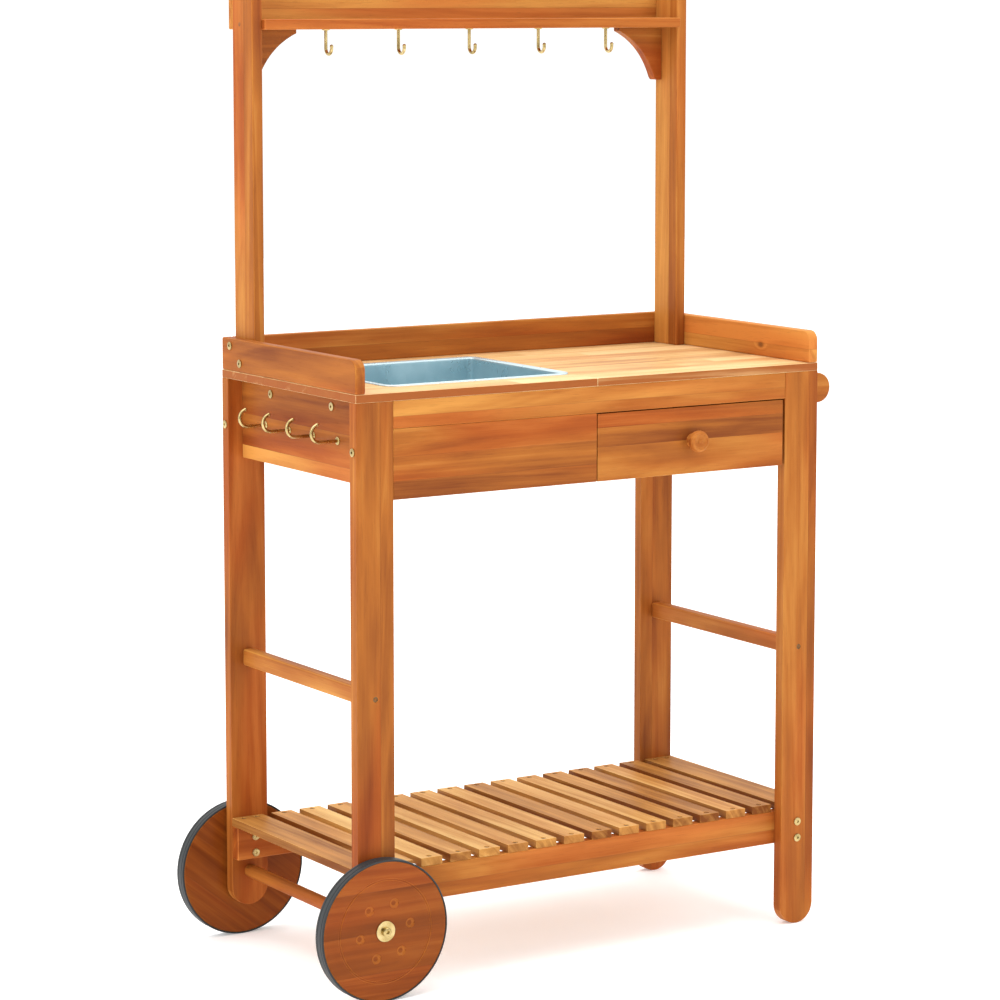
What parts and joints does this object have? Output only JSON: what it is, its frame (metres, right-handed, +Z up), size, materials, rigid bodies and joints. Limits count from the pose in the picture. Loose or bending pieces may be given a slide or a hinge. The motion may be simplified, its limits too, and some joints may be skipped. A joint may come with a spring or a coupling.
{
  "type": "potting bench",
  "caption": "Wooden potting bench on two wheels with a worktop, lift-out metal basin, drawer, slatted lower shelf, raised upper shelf, hooks and a push handle.",
  "frame": {"origin": "on the ground under the centre of the whole bench's bounding box", "axes": "+Z up; +X towards the push handle, away from the wheels; +Y towards the back, so the drawer faces -Y"},
  "size_m": [0.91, 0.4572, 1.415],
  "materials": {
    "frame_wood": "oiled acacia, satin",
    "pale_wood": "oiled acacia, satin, lighter staves",
    "slat_wood": "oiled acacia, satin",
    "wheel_wood": "oiled acacia, satin, darker staves",
    "tyre_rubber": "matt black rubber",
    "galvanised_sheet": "galvanised, satin",
    "brass": "bright yellow-zinc plating"
  },
  "bodies": {
    "root": {"leg_front_left": "frame_wood", "leg_back_left": "frame_wood", "leg_front_right": "frame_wood", "leg_back_right": "frame_wood", "apron_left": "frame_wood", "apron_right": "frame_wood", "apron_back": "frame_wood", "front_top_rail": "frame_wood", "front_panel": "frame_wood", "partition": "frame_wood", "worktop_left": "pale_wood", "worktop_right": "pale_wood", "gallery_left": "frame_wood", "gallery_right": "frame_wood", "backsplash": "frame_wood", "post_left": "frame_wood", "post_right": "frame_wood", "upper_shelf": "frame_wood", "upper_back_board": "frame_wood", "brackets": "frame_wood", "stretcher_left": "frame_wood", "stretcher_right": "frame_wood", "shelf_rail_front": "frame_wood", "shelf_rail_back": "frame_wood", "end_slat_left": "slat_wood", "end_slat_right": "slat_wood", "slat_01": "slat_wood", "slat_02": "slat_wood", "slat_03": "slat_wood", "slat_04": "slat_wood", "slat_05": "slat_wood", "slat_06": "slat_wood", "slat_07": "slat_wood", "slat_08": "slat_wood", "slat_09": "slat_wood", "slat_10": "slat_wood", "slat_11": "slat_wood", "slat_12": "slat_wood", "slat_13": "slat_wood", "slat_14": "slat_wood", "axle_bar": "frame_wood", "wheel_bolts": "brass", "handle_arms": "frame_wood", "handle_bar": "frame_wood", "drawer_runners": "frame_wood", "shelf_hooks": "brass", "side_hooks": "brass", "frame_bolts": "brass", "wood_screws": "brass"},
    "drawer": {"drawer_front": "frame_wood", "drawer_sides": "pale_wood", "drawer_back": "pale_wood", "drawer_bottom": "pale_wood", "drawer_knob": "frame_wood", "knob_screw": "brass"},
    "front_wheel": {"wheel_front": "wheel_wood", "tyre_front": "tyre_rubber"},
    "back_wheel": {"wheel_back": "wheel_wood", "tyre_back": "tyre_rubber"},
    "basin_body": {"basin": "galvanised_sheet"}
  },
  "joints": [
    {"name": "drawer_slide", "type": "slide", "parent": "root", "child": "drawer", "axis": [0, -1, 0], "range_m": [0, 0.27]},
    {"name": "front_wheel_spin", "type": "hinge", "parent": "root", "child": "front_wheel", "pos_m": [-0.353, -0.2117, 0.102], "axis": [0, 1, 0], "continuous": true},
    {"name": "back_wheel_spin", "type": "hinge", "parent": "root", "child": "back_wheel", "pos_m": [-0.353, 0.2117, 0.102], "axis": [0, 1, 0], "continuous": true},
    {"name": "basin_lift", "type": "slide", "parent": "root", "child": "basin_body", "axis": [0, 0, 1], "range_m": [0, 0.2]}
  ]
}
